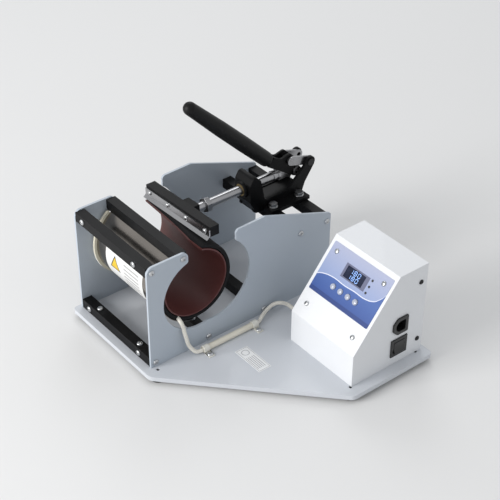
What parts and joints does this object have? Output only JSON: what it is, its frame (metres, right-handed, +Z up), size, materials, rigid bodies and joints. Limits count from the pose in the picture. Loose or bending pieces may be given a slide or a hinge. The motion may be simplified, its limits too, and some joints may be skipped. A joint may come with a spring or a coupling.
{
  "type": "mug heat press",
  "caption": "Bench press that wraps a heated mat round a mug: sheet-metal side plates, push-pull toggle clamp with a long grip, and a sloping control box on one base plate.",
  "frame": {"origin": "on the table under the middle of the whole press", "axes": "+X towards the control box's side, -Y towards the operator, +Z up"},
  "size_m": [0.342, 0.313, 0.297],
  "materials": {
    "powder_blue_grey": "satin powder coat, fine orange peel",
    "powder_grey": "satin powder coat",
    "powder_white": "satin powder coat",
    "black_bar": "black oxide, satin",
    "black_casting": "black painted casting",
    "steel": "bright zinc plated steel",
    "screw_steel": "nickel plated",
    "black_screw": "black oxide",
    "shell_steel": "polished, slightly brown from heat",
    "brass": "machined",
    "silicone": "matt silicone over a wound element",
    "foam": "matt closed-cell foam",
    "rubber": "matt",
    "lead_cream": "braided glass sleeve",
    "sleeve_beige": "varnished glass sleeve",
    "ring_cream": "glass-fibre tape",
    "clip_nylon": "natural nylon",
    "label_white": "printed polyester",
    "label_blue": "printed polyester",
    "window": "tinted clear plastic",
    "black_plastic": "moulded",
    "button_grey": "moulded, domed",
    "board_green": "solder mask",
    "relay_white": "moulded"
  },
  "bodies": {
    "frame": {"base_plate": "powder_grey", "rubber_feet": "rubber", "foot_screws": "screw_steel", "left_side_plate": "powder_blue_grey", "right_side_plate": "powder_blue_grey", "front_top_bar": "black_bar", "inner_top_bar": "black_bar", "front_bottom_bar": "black_bar", "middle_bottom_bar": "black_bar", "rear_bottom_bar": "black_bar", "clamp_bar_front": "black_bar", "clamp_bar_rear": "black_bar", "frame_screws": "screw_steel", "bar_base_screws": "screw_steel", "heat_shell": "shell_steel", "shell_end_ring": "ring_cream", "shell_screws": "screw_steel", "warning_label": "label_white", "mat_silicone": "silicone", "mat_foam": "foam", "heater_lead": "lead_cream", "lead_sleeve": "sleeve_beige", "lead_clips": "clip_nylon", "clip_screws": "screw_steel", "rating_label": "label_white", "clamp_body": "black_casting", "rod_bush": "brass", "clamp_bolts": "screw_steel", "ear_rivets": "black_screw", "box_cover": "powder_white", "box_back": "powder_grey", "box_screws": "black_screw", "panel_label": "label_blue", "panel_screws": "screw_steel", "display_window": "window", "display_module": "black_plastic", "control_board": "board_green", "status_leds": "black_plastic", "switch_housing": "black_plastic", "power_inlet": "black_plastic", "heater_relay": "relay_white", "lead_grommet": "rubber"},
    "plunger": {"push_rod": "steel", "rod_end_block": "black_casting", "rod_lock_nut": "steel", "pusher_bar": "black_bar", "mat_strip": "steel", "strip_screws": "screw_steel", "block_screws": "screw_steel", "handle_pin": "steel"},
    "handle": {"handle_lever": "black_casting", "handle_grip": "rubber", "link_pin": "steel"},
    "links": {"toggle_links": "steel"},
    "button_1": {"button_1": "button_grey"},
    "button_2": {"button_2": "button_grey"},
    "button_3": {"button_3": "button_grey"},
    "button_4": {"button_4": "button_grey"},
    "rocker": {"switch_rocker": "black_plastic"}
  },
  "joints": [
    {"name": "plunger_slide", "type": "slide", "parent": "frame", "child": "plunger", "axis": [0, -1, 0], "range_m": [0, 0.0321], "deforming": ["mat_silicone", "mat_foam"]},
    {"name": "handle_swing", "type": "hinge", "parent": "plunger", "child": "handle", "pos_m": [-0.091, 0.132, 0.1475], "axis": [-1, 0, 0], "range_deg": [0, 108.9]},
    {"name": "link_swing", "type": "hinge", "parent": "handle", "child": "links", "pos_m": [-0.091, 0.1215, 0.16569], "axis": [1, 0, 0], "range_deg": [0, 138.33]},
    {"name": "button_1_press", "type": "slide", "parent": "frame", "child": "button_1", "axis": [0, 0.7818, -0.6236], "range_m": [0, 0.0008], "stiffness_N_per_m": 400, "springref_m": -0.0008},
    {"name": "button_2_press", "type": "slide", "parent": "frame", "child": "button_2", "axis": [0, 0.7818, -0.6236], "range_m": [0, 0.0008], "stiffness_N_per_m": 400, "springref_m": -0.0008},
    {"name": "button_3_press", "type": "slide", "parent": "frame", "child": "button_3", "axis": [0, 0.7818, -0.6236], "range_m": [0, 0.0008], "stiffness_N_per_m": 400, "springref_m": -0.0008},
    {"name": "button_4_press", "type": "slide", "parent": "frame", "child": "button_4", "axis": [0, 0.7818, -0.6236], "range_m": [0, 0.0008], "stiffness_N_per_m": 400, "springref_m": -0.0008},
    {"name": "power_rock", "type": "hinge", "parent": "frame", "child": "rocker", "pos_m": [0.1545, 0.0912, 0.0372], "axis": [0, 1, 0], "range_deg": [0, 14]}
  ],
  "couplings": [
    {"joint": "plunger_slide", "follows": "handle_swing", "m_per_rad": 0.016804},
    {"joint": "link_swing", "follows": "handle_swing", "ratio": 1.2656}
  ]
}
